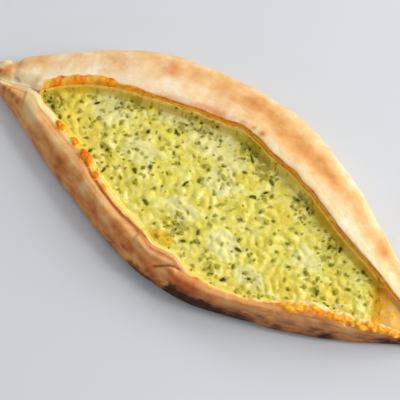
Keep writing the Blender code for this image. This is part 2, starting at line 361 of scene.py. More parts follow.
# how the crust is baked, and where shade and highlights are painted on it, by X in millimetres: shares from
# the boat's edge to the lip, and strengths
bake = {
    "bandCentre": ((-131, 0.4), (-48, 0.3), (-8, 0.4), (20, 0.52), (41, 0.5), (78, 0.42), (131, 0.4)),
    "bandStrength": ((-131, 0.2), (-118, 0.22), (-105, 0.12), (-60, 0.16), (-30, 0.22), (0, 0.34), (20, 0.42),
                     (42, 0.42), (60, 0.34), (78, 0.28), (100, 0.24), (131, 0.3)),
    "backBase": ((-131, 0.19), (-104, 0.12), (-60, 0.14), (20, 0.16), (60, 0.09), (90, 0.12), (131, 0.16)),
    "lipStart": ((-100, 0.84), (-95, 0.8), (-91, 0.815), (-84, 0.84), (-74, 0.862), (-69, 0.895),
                 (-66, 0.955), (-61, 0.94), (-54, 0.95), (-48, 0.972), (-25, 0.97), (0, 0.968), (15, 0.968),
                 (60, 0.97), (124, 0.97)),
    "lipStrength": ((-96, 0), (-94.5, 1), (-92, 1), (-90.5, 0.4), (-88.5, 0.45), (-87, 1), (-83, 1),
                    (-80, 0.5), (-74, 0.5), (-70, 0.8), (-66, 0.6), (-60, 1), (-50, 0.85), (-30, 1), (0, 1),
                    (30, 0.9), (60, 0.95), (110, 0.9), (124, 0)),
    # the front rim's toast by share from the edge to the lip; the peak just inside the lip is painted shade in
    # the groove
    "leftRim": ((-1, 0.8), (-0.3, 0.72), (0, 0.64), (0.3, 0.55), (0.55, 0.4), (0.68, 0.48), (0.735, 0.66),
                (0.77, 0.44), (0.9, 0.3), (1, 0.25)),
    "layeredRim": ((-1, 0.8), (-0.3, 0.7), (0, 0.6), (0.2, 0.54), (0.34, 0.51), (0.48, 0.49), (0.58, 0.45),
                   (0.625, 0.4), (0.66, 0.42), (0.69, 0.56), (0.73, 0.64), (0.765, 0.82), (0.8, 0.6),
                   (0.86, 0.5), (0.93, 0.42), (1, 0.26)),
    "plainRim": ((-1, 0.85), (-0.3, 0.77), (0.1, 0.7), (0.4, 0.63), (0.62, 0.57), (0.78, 0.55), (0.88, 0.48),
                 (1, 0.3)),
    "cragStart": ((46, 0.86), (54, 0.8), (60, 0.7), (68, 0.42), (76, 0.5), (84, 0.52), (94, 0.42),
                  (104, 0.34), (114, 0.3), (122, 0.5), (126, 0.9)),
    "scorched": ((-80, 0.1), (-40, 0.2), (-26, 0.5), (-17, 0.3), (-9, 0.6), (0, 0.62), (8, 0.5), (14, 1),
                 (32, 1), (38, 0.7), (47, 0.75), (53, 0.6), (57, 0.3), (65, 0.65), (70, 0.35), (80, 0.45),
                 (88, 0.72), (94, 0.35), (108, 0.5), (114, 0.9), (120, 0.4)),
    "crumbs": (  # X, share, reach and height of the lumps on the front lip
        (-80.5, 0.93, 1.5, 0.9), (-78.6, 0.9, 1.9, 1.2), (-76.5, 0.93, 1.6, 0.9), (-68.5, 0.93, 1.5, 1),
        (-66.8, 0.9, 1.8, 1.1), (-60.6, 0.93, 1.7, 1.3), (-58.9, 0.86, 2.3, 1.6), (-57, 0.93, 2.2, 1.5),
        (-55.2, 0.85, 1.9, 1.2), (-48.9, 0.9, 2, 0.8), (-41.6, 0.9, 1.4, 0.6)),
    "spots": {  # X, Y, reach, and what is added to the mask
        "toast": ((-124, -3, 3.6, -0.24), (-119.3, -7.1, 3, 0.16), (-117.5, -9.3, 3, 0.26),
                  (-121.5, -10, 2.6, 0.34), (-114.9, -15.2, 1.3, 0.35), (-112, -15.8, 1.3, 0.35),
                  (-108.8, -17, 1.4, 0.35), (-105.5, -18.5, 1.4, 0.3), (-108.5, 5.7, 3.4, 0.2),
                  (-36.7, 40, 4, 0.16), (-4, 42, 6, 0.08), (7.9, 32.1, 1.6, 0.6), (2.9, 32.6, 1.2, 0.45),
                  (119, -15.5, 1.6, 0.5), (89, 15.6, 4, 0.2), (92.9, -24.3, 5, -0.12)),
        "blush": ((-122.6, -9.8, 1.8, 0.9), (-114.4, -1, 3.6, 0.4), (-49.1, 36.9, 4.5, 0.5),
                  (-20, 33, 7, 0.3), (-72, 26, 8, 0.22), (119, -15.5, 1.8, 1), (96, 9, 3, 0.35),
                  (26, 40, 8, 0.25), (-115.6, -16.5, 2.2, 0.8), (113.3, -15.8, 3.5, 0.8),
                  (104, -18.5, 2.5, 0.5), (82.3, -28.6, 3, 0.7), (0, -50, 9, 0.35), (22, -50, 8, 0.45)),
        # the last of these spots is painted shade under the back flap's end
        "scorch": ((-112.4, -9.2, 1.7, 0.34), (-115.2, -8, 1.5, 0.3), (-110.3, -9.5, 1.3, 0.26),
                   (-95.7, -7, 1, 1)),
        "cream": ((-93.8, 6.2, 1.5, 0.7), (-88, 10.2, 1.5, 0.7), (-117, -13.3, 2.8, 0.8),
                  (-113.5, -13, 2, 0.5)),
        "golden": ((-95.7, -16, 1.5, 0.4), (-107, -3.5, 5, 0.22), (-97.6, -3.4, 2.4, 0.7),
                   (-104, -6.5, 4, 0.3)),
        "caramel": ((7.9, 32.1, 1.5, 0.5),),
        # a painted sheen on the right of the front wall
        "flour": ((95, -24, 5, 0.25),),
    },
}

crustMasks = ("toast", "caramel", "golden", "cream", "flour", "scorch", "blush")


def puff(x, across, side):
    broad = waver(x / (34 * mm), across * 1.3, side * 3)
    fine = waver(x / (11 * mm), across * 3, side * 7)
    return (0.9 * broad + 0.45 * fine) * mm


def creaseShare(x):  # the share at which the crease beside the tucked end runs
    return 0.38 + 0.036 * (x - crust["tuckEnd"] / mm + 10)


def frontLayers(x, across):
    width, depth = crust["groove"]
    centre = smoothValue(crust["grooveCentre"], x / mm)
    end = crust["tuckEnd"]
    left = mix(0.25, 1, fade(x, *crust["grooveDeepens"]))
    relief = -depth * left * between(x, *crust["grooveEnds"], 12 * mm) * bump(across, centre, width)
    length = crust["tuckLength"]
    relief += crust["tuckRise"] * between(x, end - length, end, 2.5 * mm) * fade(across, 0.35, 0.6)
    creased = between(x, end - length / 2, end + 1 * mm, 3 * mm)
    relief -= crust["tuckCrease"] * creased * bump(across, creaseShare(x / mm), 0.07)
    start, ease = mix(*crust["layerStart"], across), crust["layerEase"]
    relief -= crust["layerStep"] * fade(x, start + ease, start - ease) * fade(x, boat["leftTip"], start)
    return relief


def tipFolds(x, across, side):
    knob = bump(x, mix(*crust["knobCrease"], across), 1.6 * mm) if side > 0 else 0
    return -(1.8 * knob + 1.2 * bump(x, crust["pinch"], 2.5 * mm) * fade(across, 0.1, 0.4)) * mm


def flapZ(x, across, side, share):
    z = smoothValue(crust["backProfile" if side > 0 else "frontProfile"], across) * mm
    z += (puff(x, across, side) + tipFolds(x, across, side)) * fade(across, 0, 0.15)
    if side < 0:
        z += frontLayers(x, across)
    ease = crust["meetingEase"]
    closed = 1 - between(x, mouth["leftCorner"] - ease, mouth["rightCorner"] + ease, ease)
    return mix(z, crust["meetingZ"], closed * fade(across, 0.7, 1)) * share


def lumps(place, size):  # rounded lumps with creases between them, 0 to 1
    near = noise.voronoi(place / size)[0][0]
    return math.sqrt(max(1 - (near / 0.75)**2, 0))


def addSpots(masks, x, y):
    for key, spots in bake["spots"].items():
        for spotX, spotY, reach, strength in spots:
            if abs(x - spotX) < 2 * reach and abs(y - spotY) < 2 * reach:
                masks[key] += strength * math.exp(-((x - spotX)**2 + (y - spotY)**2) / reach**2)


def backLook(place, x, across, masks):  # the wide flap; gives its fine relief in millimetres
    blotch, mottle, ragged = (speckle(*place, size * mm) for size in (9, 4, 2))
    # a little paler near the crest: paler dough and a painted highlight
    toast = smoothValue(bake["backBase"], x) - 0.04 * bump(across, 0.84, 0.12) * fade(x, -112, -88)
    band = bump(across + 0.05 * blotch, smoothValue(bake["bandCentre"], x), 0.24)
    toast += smoothValue(bake["bandStrength"], x) * band
    toast += 0.1 * fade(-across, 0, 0.5) + 0.07 * fade(across, 0.2, 0.02) * fade(x, 60, 20)
    toast += 0.05 * bump(across, 0.8, 0.1) * fade(x, -60, 0) + 0.05 * fade(across, 0.3, 0.1) * fade(x, 40, 70)
    masks["toast"] = toast + 0.1 * blotch + 0.08 * mottle
    band = between(x, -95.8, -66, 2)
    start = smoothValue(bake["lipStart"], x) + (0.022 * ragged + 0.02 * mottle) * band + 0.006 * ragged
    strength = smoothValue(bake["lipStrength"], x) * (1 + 0.3 * ragged) * mix(0.72, 1, band)
    masks["caramel"] = strength * fade(across, start - 0.006, start + 0.012)
    masks["caramel"] *= mix(fade(across, 1.1, 1), fade(across, 1.36, 1.2), band)
    yellow = fade(across, 1, 1.1) + 0.9 * fade(across, start, start + 0.02)
    masks["golden"] = yellow * between(x, -99, 125, 3) * fade(across, 2, 1.6)
    # cream near the crest, stronger towards the right: paler dough and a painted highlight
    masks["cream"] = mix(0.2, 0.5, fade(x, 24, 44)) * bump(across, 0.88, 0.06) * fade(x, -60, -30)
    masks["blush"] = 0.35 * between(x, -46, 6, 8) * bump(across, 0.93, 0.05) * (1 + 0.6 * mottle)
    masks["blush"] += 0.2 * between(x, -95, 15, 20) * fade(across, 0.1, 0.35)
    crisp = band * fade(across, start, start + 0.03) * fade(across, 1.1, 0.98)
    wrinkle = waver(x / 9, across * 14, 4)
    blister = fade(speckle(*place, 2.6 * mm), 0.35, 0.6)
    relief = 0.14 * wrinkle * fade(across, -0.1, 0.1) + 0.14 * blister
    return relief + 0.12 * crisp * (ragged + 0.8 * lumps(place, 1.5 * mm))


def frontLook(place, x, across, masks):  # the narrow rim
    blotch, mottle, ragged = (speckle(*place, size * mm) for size in (9, 4, 2))
    streak = waver(x / 16, across * 9, 8)
    plain = fade(x, 7, 17)
    rims = [smoothValue(bake[key], across) for key in ("leftRim", "layeredRim", "plainRim")]
    toast = mix(mix(rims[0], rims[1], fade(x, -68, -48)), rims[2], plain)
    toast += 0.04 * fade(x, 40, 90) - 0.1 * fade(x, -60, -100) * fade(across, 0.45, 0.1)
    wall = fade(across, 0.62, 0.5) * (1 - 0.5 * plain)
    # painted shade along the crease beside the tucked end, added to the toast, scorch and caramel masks
    creaseShade = between(x, -1, 14, 3) * bump(across, creaseShare(x), 0.04)
    flake = waver(x / 6, across * 18, 3) * fade(x, 35, 60) * fade(across, 0.62, 0.45) * fade(across, -0.1, 0.1)
    masks["toast"] = toast + (0.06 + 0.1 * wall) * blotch + (0.06 + 0.1 * wall) * mottle + 0.4 * creaseShade
    masks["scorch"] = 0.4 * creaseShade
    masks["toast"] += 0.1 * streak * fade(across, 1, 0.6) + 0.2 * flake
    left, middle = between(x, -108, -62, 5), between(x, -62, 60, 5)
    line = 0.25 * left * bump(across, 0.76 + 0.012 * ragged, 0.025)
    untucked = 1 - 0.85 * between(x, -9, 17, 5)
    lip = middle * untucked * fade(across, 0.8, 0.86) * fade(across, 1.0, 0.95)
    line += lip * min(max(0.1 + 1.2 * mottle + 0.65 * bump(across, 0.85, 0.03), 0), 0.95)
    masks["caramel"] = line * (0.8 + 0.35 * ragged) + 0.4 * creaseShade
    browned = fade(mottle - 0.3 * blotch, -0.1, 0.4)
    masks["caramel"] += 0.46 * between(x, -78, 4, 12) * bump(across, 0.42, 0.2) * browned
    # cream along the front lip's inner edge: pale cheese on the lip and a painted highlight along that edge
    masks["cream"] = 0.9 * left * fade(across, 0.75, 0.82) * fade(across, 1.25, 1.05)
    masks["cream"] += (0.9 * middle * fade(across, 0.93, 0.985) * fade(across, 1.3, 1.12) * (1 + 0.5 * ragged)
                       + 0.6 * lip)
    masks["golden"] = (between(x, -84, -50, 6) * fade(across, 0.78, 0.88) * fade(across, 1.1, 1)
                       * (0.8 + 0.7 * mottle))
    masks["golden"] += fade(across, 1.08, 1.2) * between(x, -101, 125, 3) * fade(across, 2, 1.6) + 0.62 * lip
    start = mix(*crust["layerStart"], across) / mm
    floured = fade(x, start - 0.3, start + 0.3) * fade(x, start + 15, start + 5.5)
    masks["flour"] = floured * bump(across, 0.5, 0.5) * fade(across, 0.12, 0.22)
    # paler greyish tan streaks on the right of the front wall: a painted sheen
    masks["flour"] += 0.42 * between(x, 30, 116, 12) * bump(across, 0.3, 0.2) * (0.7 + 0.9 * mottle)
    masks["blush"] = (0.45 + 0.6 * blotch) * between(x, -90, 50, 14) * bump(across, 0.28, 0.25)
    relief = 0.18 * streak * fade(across, -0.1, 0.1) + 0.1 * mottle + 0.5 * flake
    for lumpX, share, reach, height in bake["crumbs"]:
        if abs(x - lumpX) < 2 * reach:
            y = (across - share) * 14
            lump = math.exp(-((x - lumpX)**2 + y * y) / (0.8 * reach)**2 * (1 + 0.6 * ragged))
            relief += height * lump
            masks["golden"] += 1.1 * fade(lump, 0.02, 0.4)
            masks["caramel"] += 0.8 * fade(lump, 0.1, 0.55) * (1 - 0.45 * fade(lump, 0.6, 0.9))
    cragStart = smoothValue(bake["cragStart"], x) + 0.06 * ragged + 0.05 * mottle
    cragStart += 0.09 * waver(x / 6, 5, 2)
    crisp = between(x, 44, 126, 6) * fade(across, cragStart, cragStart + 0.07) * fade(across, 1.3, 1.12)
    if crisp > 0:
        bubble = 0.6 * lumps(place, 6.5 * mm) + 0.4 * lumps(place, 2.6 * mm) + 0.1 * mottle
        relief += crisp * (2.7 * bubble - 1.1) * fade(across, 1.15, 1)
        masks["golden"] += crisp * (0.6 + 0.5 * fade(bubble, 0.4, 0.8))
        # browned cheese, paler on the bubbles' tops and along the inner edge and deeper orange in the
        # crevices: painted highlights and painted shade
        inner = fade(across + 0.05 * ragged, 0.78, 0.9)
        pale = max(0.6 * fade(bubble, 0.75, 0.95), 1.1 * inner)
        masks["cream"] = mix(masks["cream"], pale, crisp) * fade(across, 0.5, 0.75)
        masks["golden"] *= 1 - 0.6 * inner * crisp * fade(across, 1.1, 1.02)
        brown = 0.3 + 0.3 * fade(bubble, 0.85, 0.4) + 0.4 * bump(across, cragStart + 0.05, 0.06)
        masks["caramel"] += crisp * brown * (1 - 0.9 * inner)
    return relief


def footLook(place, x, across, masks):  # the browned and scorched foot of the front
    grain, blotch = speckle(*place, 2.6 * mm), speckle(*place, 6 * mm)
    amount = smoothValue(bake["scorched"], x + 1.5 * blotch + grain)
    reach = 0.06 + 0.17 * amount + 0.06 * grain + 0.06 * blotch
    masks["scorch"] += min(1.35 * amount, 1.2) * fade(across, reach, reach - 0.18)
    masks["toast"] += 0.12 * amount * fade(across, 0.4, 0.1)


def bareLook(place, x, masks):  # the bare dough of the right corner
    px, py, pz = place
    beyond = (px + mouth["wellEndSlant"] * (py - seamY(px))) / mm - 102 + 1.5 * speckle(px, py, pz, 3 * mm)
    # darker where the lips meet at the left: painted shade in the seam
    seam = fade(px / mm, -98, -102)
    masks["toast"] = mix(0.34, 0.6, seam) + 0.1 * speckle(px, py, pz, 5 * mm)
    masks["golden"] = mix(0.55, 0, seam) + 0.3 * speckle(px, py, pz, 5 * mm)
    masks["golden"] += 0.5 * bump(beyond, 0, 2) * (1 - seam)
    masks["caramel"] = 0.3 * bump(beyond, 1, 1) * (1 - seam)
    return 0.15 * speckle(px, py, pz, 3 * mm)


def crustEntry(place, x, across, side):  # across is 0 at the boat's edge, 1 at the lip and 2 in the mouth
    masks = dict.fromkeys(crustMasks, 0.0)
    if across >= 2:
        relief = bareLook(place, x, masks)
    elif side > 0:
        relief = backLook(place, x, across, masks)
    else:
        relief = frontLook(place, x, across, masks)
        footLook(place, x, across, masks)
    if across < 1.2:
        addSpots(masks, place.x / mm, place.y / mm)
    relief += 0.06 * speckle(*place, 1.3 * mm)
    return place, relief * mm * fade(across, -1, -0.7), tuple(masks.values())


def crustRing(x):
    # one cross-section, from the middle of the well over the back flap, under, up the front and back again
    share, seam = heightShare(x), seamY(x)
    rounds = crust["roundSteps"]
    opened = between(x, mouth["leftCorner"], mouth["rightCorner"], 1.2 * mm)
    lowered = between(x, mouth["leftCorner"] + 3 * mm, mouth["rightCorner"], 2 * mm)
    lowerLip = min(flapZ(x, 1, 1, share), flapZ(x, 1, -1, share))
    inWell = between(x, mouth["leftCorner"] + 3 * mm, mouth["wellRightEnd"] - 1 * mm, 1 * mm)
    halves = []
    for side in (1, -1):
        edge, lip = edgeY(x, side), lipY(x, side)
        inner = lip + side * min(mix(*crust["seamGap"], opened), 0.2 * abs(edge - seam))
        lipZ = flapZ(x, 1, side, share)
        well = wellY(x, side, 0)
        underLip = side * (well - lip) > 0 and inWell > 0

        def shelfPlace(y, weight):
            place = slanted(Vector((x, y, 0)), weight)
            bare = min(bareCornerZ(place.x, place.y), lowerLip - 0.1 * mm * share)
            seamZ = lowerLip - mix(*crust["seamDepth"], x > 0) * share
            place.z = mix(seamZ, mouth["wellTop"] if underLip else bare, lowered)
            return place

        shelfY = mix(seam, lip, opened)
        wallY = mix(shelfY, well, lowered)
        if inWell == 0:
            wallY = seam + side * min(side * (wallY - seam), 0.6 * side * (shelfY - seam))
        entries = []
        for k in range(rounds["well"] + 1):  # the well's floor and wall
            place = shelfPlace(mix(seam, wallY, k / rounds["well"]), 1)
            place.z = mix(place.z, mouth["wellFloor"], inWell)
            entries.append((place, 2.0))
        entries.append((place.lerp(shelfPlace(wallY, 1), 0.5), 2.0))
        for k in range(rounds["shelf"] + 1):  # over the bare dough, or under the lip
            t = k / rounds["shelf"]
            entries.append((shelfPlace(mix(wallY, shelfY, t), 1 - t), 1.5 if underLip else 2.0))
        shelf = entries[-1][0].z
        for k in range(1, rounds["lip"]):  # up to the lip, rounded over
            t = k / rounds["lip"]
            angle = t * math.pi / 2
            place = Vector((x, mix(shelfY, inner, 1 - math.cos(angle)), mix(shelf, lipZ, math.sin(angle))))
            entries.append((place, 1.4 - 0.4 * t))
        steps = crust["flapSteps"][side]
        for k in range(steps, -1, -1):
            across = mix(k / steps, (1 - math.cos(math.pi * k / steps)) / 2, 0.6)
            entries.append((Vector((x, mix(edge, inner, across), flapZ(x, across, side, share))), across))
        foot = flapZ(x, 0, side, share)
        under = min(crust["undercurve"][side], 0.35 * abs(edge - seam))
        for k in range(1, rounds["foot"] + 1):
            t = k / rounds["foot"]
            angle = t * math.pi / 2
            place = Vector((x, edge - side * under * (1 - math.cos(angle)), foot * (1 - math.sin(angle))))
            entries.append((place, -t))
        halves.append([crustEntry(place, x / mm, across, side) for place, across in entries])
    back, front = halves
    base = []
    for k in range(1, rounds["base"]):
        place = back[-1][0].lerp(front[-1][0], k / rounds["base"])
        toast, scorch = 0.55 + 0.2 * speckle(*place, 9 * mm), 0.2 + 0.5 * speckle(*place, 6 * mm)
        base.append((place, 0, (toast, 0, 0, 0, 0, scorch, 0)))
    return back + base + front[::-1]


def doughFinish():
    look = Finish("bakedDough")
    coarse, medium, fine = look.noise(8, 3, 0.6), look.noise(2.6, 4, 0.65), look.noise(0.9, 3, 0.7)
    # toast, with the painted shade of the groove, the crease and the seam, and a painted highlight near the
    # back crest
    baked = look.mask("toast") + 0.3 * (coarse - 0.5) + 0.26 * (medium - 0.5) + 0.12 * (fine - 0.5)
    colour = look.ramp(baked.clamped(), (
        (0.0, (250, 236, 210)), (0.15, (246, 218, 170)), (0.3, (240, 196, 138)),
        (0.45, (233, 176, 110)), (0.6, (220, 153, 86)), (0.75, (190, 125, 78)),
        (0.88, (149, 99, 69)), (1.0, (92, 55, 34))))
    blush = look.broken("blush", coarse, 0.5, 1.0, 0.05, 0.9)
    colour = look.blend(blush * 0.7, colour, (232, 150, 106), "MULTIPLY")
    # cream, with the painted highlights on the back crest, the front lip's edge and the crags
    cream = look.broken("cream", medium, 0.5, 1.1, 0.2, 0.85)
    creamTint = look.ramp(fine, ((0.35, (250, 218, 142)), (0.62, (255, 240, 190))))
    colour = look.blend(cream * 0.85, colour, creamTint)
    golden = look.broken("golden", medium, 0.55, 0.9, 0.25, 0.85)
    goldenTint = look.ramp(medium, (
        (0.35, (228, 152, 14)), (0.5, (246, 186, 36)), (0.68, (254, 222, 104))))
    colour = look.blend(golden * 0.92, colour, goldenTint)
    # caramel, with the painted shade of the crease and of the crags' crevices
    caramel = look.broken("caramel", medium, 0.5, 1.0, 0.22, 0.75)
    caramelTint = look.ramp(look.noise(3.4, 3, 0.6), (
        (0.36, (224, 92, 2)), (0.5, (242, 136, 10)), (0.66, (252, 184, 52))))
    colour = look.blend(caramel * 0.92, colour, caramelTint)
    # flour on the left of the front rim, and a painted sheen on the right of the front wall
    flour = look.broken("flour", medium, 0.5, 1.0, 0.15, 0.9)
    colour = look.blend(flour * 0.75, colour, (226, 202, 146))
    # scorch, with the painted shade of the crease and of the spot under the back flap's end
    scorch = look.mask("scorch") * (0.6 + 0.8 * medium)
    colour = look.blend(scorch.step(0.08, 0.6) * 0.8, colour, (122, 72, 38))
    colour = look.blend(scorch.step(0.5, 1.05) * 0.92, colour, (46, 27, 16))
    normal = look.bumped(medium, 0.5 * mm, 0.35, look.bumped(fine, 0.25 * mm, 0.4))
    rough = 0.76 - 0.24 * caramel - 0.24 * golden + 0.12 * (fine - 0.5)
    return look.finish(Base_Color=colour, Roughness=rough, Normal=normal, Specular_IOR_Level=0.12)


def makeCrust():
    stations = easedSteps(boat["leftTip"], boat["rightTip"], crust["alongSteps"], ease=0.35)
    piece = wrapGrid("doughCrust", [crustRing(x) for x in stations], crustMasks)
    settle(piece, doughFinish(), "crust", "crust")


filling = {
    "alongSteps": 440,
    "topSteps": 172,
    "clearance": 0.3 * mm,
    "z": 14.2 * mm,
    "crown": 1 * mm,
    "curdHeight": 0.8 * mm,
    "curdSize": 5 * mm,
    "lumpSizes": (3.2 * mm, 1.6 * mm),
    "endGaps": (1.4 * mm, 0.7 * mm),  # how far it keeps from the well's ends
    "climbReach": {1: 3.4 * mm, -1: 1.7 * mm},  # this far from the back and front lip it starts to climb
    "lipShows": {1: 1 * mm, -1: 2.4 * mm},  # how much of the lip it leaves bare
    "endDrop": 1.3 * mm,  # how far it sinks at the bare corner
    "overlap": 0.3 * mm,  # it clings to the dough, so no gap shows
    # how strongly shade is painted on the cheese under the back lip, by X
    "backShade": ((-100, 0.5), (-60, 0.55), (-30, 0.6), (10, 0.5), (40, 0.45), (56, 0.9), (80, 0.7),
                  (104, 1)),
    # X, Y and half sizes of the places where the cheese is smooth, where it is pale, and where yolk shows
    "smoothPatches": ((-84, 0, 9, 8), (-76, -9, 9, 9), (-64, -15, 5, 5), (56, -24, 9, 6), (82, -14, 8, 5),
                      (36, 4, 8, 5)),
    "palePatches": ((-64, 4, 11, 8), (-34, 20, 12, 6), (-12, 18, 12, 9), (-40, -6, 9, 7), (22, -24, 9, 7),
                    (60, -8, 8, 6), (4, 2, 9, 6), (2, 14, 8, 6), (-5, -20, 9, 6), (42, -31, 8, 5)),
    "yolkPatches": ((-5, -37.5, 7, 3.6), (99, -6, 5, 6)),
}

herbs = {
    "count": 150,  # those that the solids hold too
    "length": (1.5 * mm, 3.5 * mm),
    "slimness": (0.35, 0.8),
    "reach": (0.32, 0.6),
    "sides": 6,
    "gap": 3.7 * mm,
    "lipGap": 2.6 * mm,
    "darkLeaves": (  # X, Y, length, width and turn of the leaves that stand out
        (-53.9, 17.2, 2.2, 1.3, 20), (-35.8, 21.7, 2, 1.2, 50), (-21.8, 23.3, 2, 1.3, 10),
        (-14, 25.6, 2.2, 1.3, 30), (-96.2, -7, 1.5, 1.1, 20), (-92, -9.5, 3.2, 2, 20),
        (-88.5, -11, 3.4, 2.2, 160), (-82.7, -13.2, 2.8, 1.5, 126), (-71.6, 3.2, 3.8, 1.6, 55),
        (-61.4, 9.8, 2.4, 1.4, 150), (-59.9, -19.3, 3.4, 1.8, 65), (-52.5, -14.3, 2.8, 2.2, 42),
        (-48.4, -24.3, 3.9, 1.4, 89), (-41.5, 4.3, 3.7, 2, 101), (-35.4, -16.3, 3.6, 2.5, 147),
        (-29.8, -10.4, 3.7, 2.3, 118), (-29.5, 12.3, 4.6, 1.4, 144), (-28, 18, 2.6, 1.6, 46),
        (-21.6, -26.4, 4.4, 2, 156), (-15.6, 21.6, 4.4, 2, 170), (-10.4, -8.1, 4.4, 1.4, 74),
        (-5.5, 4.5, 4.2, 2.4, 120), (-3.3, -27.9, 4.3, 1.8, 168), (5.5, 25.6, 3.3, 1.7, 120),
        (9.2, 21.4, 6, 1.8, 140), (8.8, -25.5, 4.5, 1.8, 108), (5, -33, 3.5, 2, 30), (10, -30, 4, 2, 45),
        (20.9, 4.5, 4.4, 2.1, 24), (22.4, -8.7, 3.6, 2.1, 17), (23.9, 16.4, 5, 2.2, 153),
        (24.6, 10, 4.3, 1.4, 56), (30, -22, 4.4, 2, 174), (32.5, -38, 4.6, 2.2, 53), (39.5, 15.8, 4.4, 2, 7),
        (42.3, -31.4, 2.8, 2, 24), (46.1, 14.8, 2.9, 1.7, 96), (65.7, 3.3, 3.1, 1.7, 85),
        (70.6, 6.5, 4.9, 1.8, 111), (72.7, -18, 5.7, 1.8, 115), (86, 2.9, 2.9, 2.2, 118)),
    "smallCount": 270,
    "smallLength": (0.7 * mm, 2 * mm),
    "sunkCount": 640,
    "sunkLength": (0.8 * mm, 3.2 * mm),
    "sunkStrength": ((0.15, 0.9), (0.8, 1.1)),  # of the scattered leaves, and of those in clusters
    "clusterLength": (1.6, 4),  # in millimetres
    "proud": (0.12, 0.26),  # in millimetres
    "depth": 0.75 * mm,
    "crumple": 0.1 * mm,
    "shades": {"dark": (0.0, 0.45), "common": (0.45, 1.3), "small": (0.3, 1.2)},
    "clusters": ((-90, -8, 4, 5), (-84, -11, 4, 3), (-3, -29, 6, 16), (6, 24, 6, 18), (18, 20, 6, 14),
                 (-55, 12, 4, 6), (-28, 19, 5, 10), (43, 14, 6, 12), (-18, 22, 5, 8), (22, -36, 5, 6),
                 (66, 3, 6, 8)),
}

cheeseMasks = ("herb", "curd", "smooth", "pale", "yolk", "rim", "shade")


def coreZ(x, y):  # the top of the filling, as the solids have it
    inside = insideLips(x, y)
    shown = fade(inside, -1 * mm, 5 * mm)
    crown = filling["crown"] * fade(inside, 0, 22 * mm)
    size = filling["curdSize"]
    curd = 2 * abs(waver(x / size, y / size, 0))
    lump = waver(x / (15 * mm), y / (15 * mm), 4)
    return filling["z"] + crown + shown * (filling["curdHeight"] * curd + 0.5 * mm * lump), inside


def patchShare(patches, x, y):  # 1 in the middle of a patch
    most, ragged = 0, 0.45 * speckle(x, y, 0, 5 * mm)
    for cx, cy, rx, ry in filling[patches]:
        far = ((x / mm - cx) / rx)**2 + ((y / mm - cy) / ry)**2
        most = max(most, fade(far + ragged, 1.6, 0.4))
    return most


def rimClimb(gap, side):  # how far the cheese has climbed towards a lip, 0 to 1
    return fade(gap, filling["climbReach"][side], 0.2 * mm) * fade(gap, -0.6 * mm, -0.1 * mm)


def climbed(x, y, z, inside):
    # the cheese's height once it clings to the lips, how far it climbs, and its gap to the back lip
    gaps = {side: side * (lipY(x, side) - y) if inside < 8 * mm else inside for side in (1, -1)}
    end = mouth["wellRightEnd"]
    ends = fade(x, mouth["leftCorner"], mouth["leftCorner"] + 2 * mm) * fade(x, end + 2 * mm, end - 4 * mm)
    most = 0
    for side, gap in gaps.items():
        climb = rimClimb(gap, side) * ends
        if climb > 0:
            z += climb * max(flapZ(x, 1, side, heightShare(x)) - filling["lipShows"][side] - z, 0)
        most = max(most, climb)
    return z, most, gaps[1]


def curdRelief(x, y, smooth):  # lumps of curd and the pits between them, in millimetres, and a tone that is paler on the lumps' tops and darker in the pits: painted highlight and painted shade
    place = Vector((x, y, 0))
    big, small = filling["lumpSizes"]
    bigLump, smallLump = lumps(place, big), lumps(place + Vector((5, 3, 0)) * mm, small)
    rough = 0.5 * bigLump + 0.26 * smallLump - 0.5 + 0.12 * speckle(x, y, 0, 1.1 * mm)
    return rough * mix(0.5, 0.15, smooth), mix(0.6 * bigLump + 0.4 * smallLump, 0.6, 0.6 * smooth)


def fillingTop(x, y):  # height of the finished surface at a place seen from above
    end = mouth["wellRightEnd"]
    source = x + mouth["wellEndSlant"] * slantShare(x) * (y - seamY(x))
    z, inside = coreZ(source, y)
    z = climbed(x, y, z, inside)[0] - filling["endDrop"] * fade(source, end - 9 * mm, end - 1 * mm)
    return z + curdRelief(x, y, patchShare("smoothPatches", x, y))[0] * mm


def chancePlace(draw, left, right):  # anywhere between the lips, clear of the well's ends
    x = draw.uniform(mouth["leftCorner"] + left, mouth["wellRightEnd"] - right)
    return x, draw.uniform(lipY(x, -1), lipY(x, 1))


def clusterPlaces(draw):
    for cx, cy, radius, count in herbs["clusters"]:
        for k in range(count):
            away, angle = radius * math.sqrt(draw.random()), draw.uniform(0, math.tau)
            yield (cx + away * math.cos(angle)) * mm, (cy + away * math.sin(angle)) * mm


